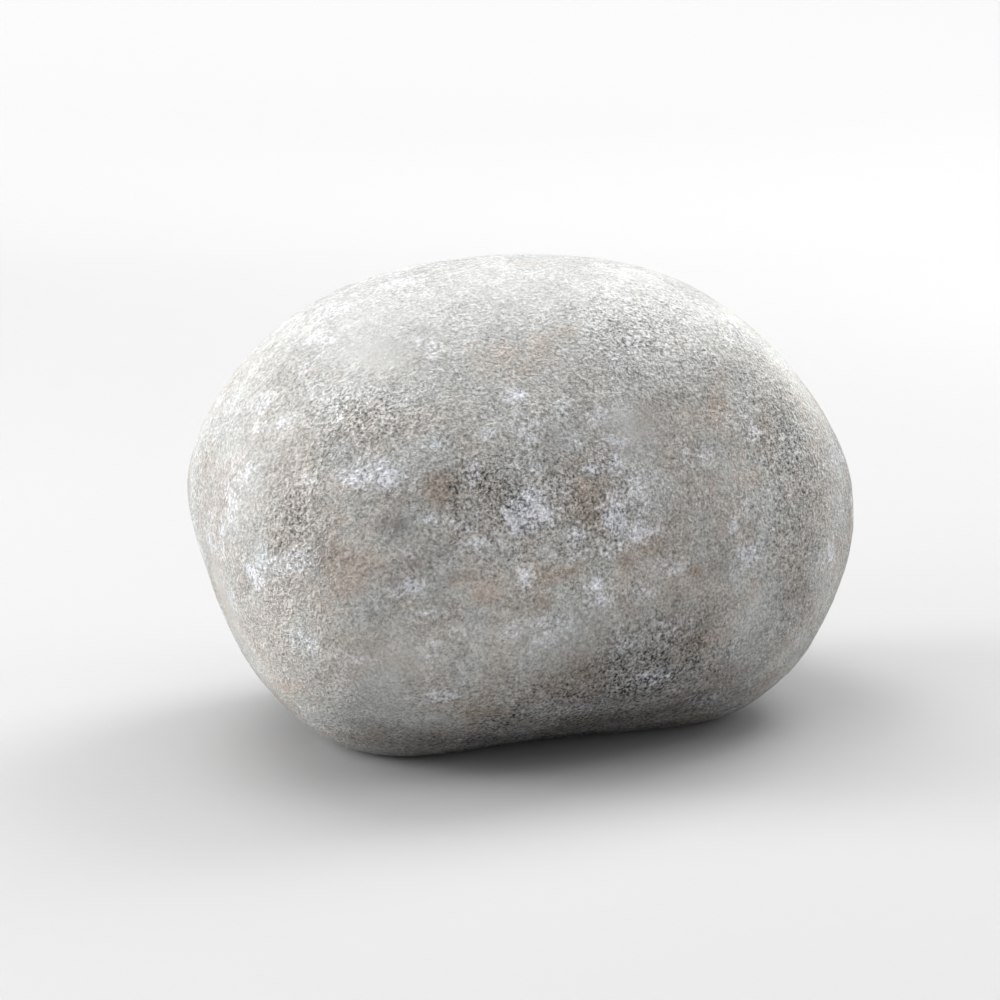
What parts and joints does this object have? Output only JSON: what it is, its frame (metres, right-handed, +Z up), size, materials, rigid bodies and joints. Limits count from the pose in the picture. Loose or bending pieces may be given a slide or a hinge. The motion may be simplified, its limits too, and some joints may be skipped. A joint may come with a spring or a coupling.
{
  "type": "river pebble",
  "caption": "Large water-worn river pebble: an oblong, softly blocky grey stone with a flat underside that it rests on.",
  "frame": {"origin": "middle of the bounding box, on the surface the stone rests on", "axes": "+X along the stone's length, -Y towards its broad front, +Z up"},
  "size_m": [0.0862, 0.0624, 0.0569],
  "materials": {
    "stone": "dry, matt, fine-grained, mottled grey"
  },
  "bodies": {
    "root": {"pebble": "stone"}
  },
  "joints": []
}
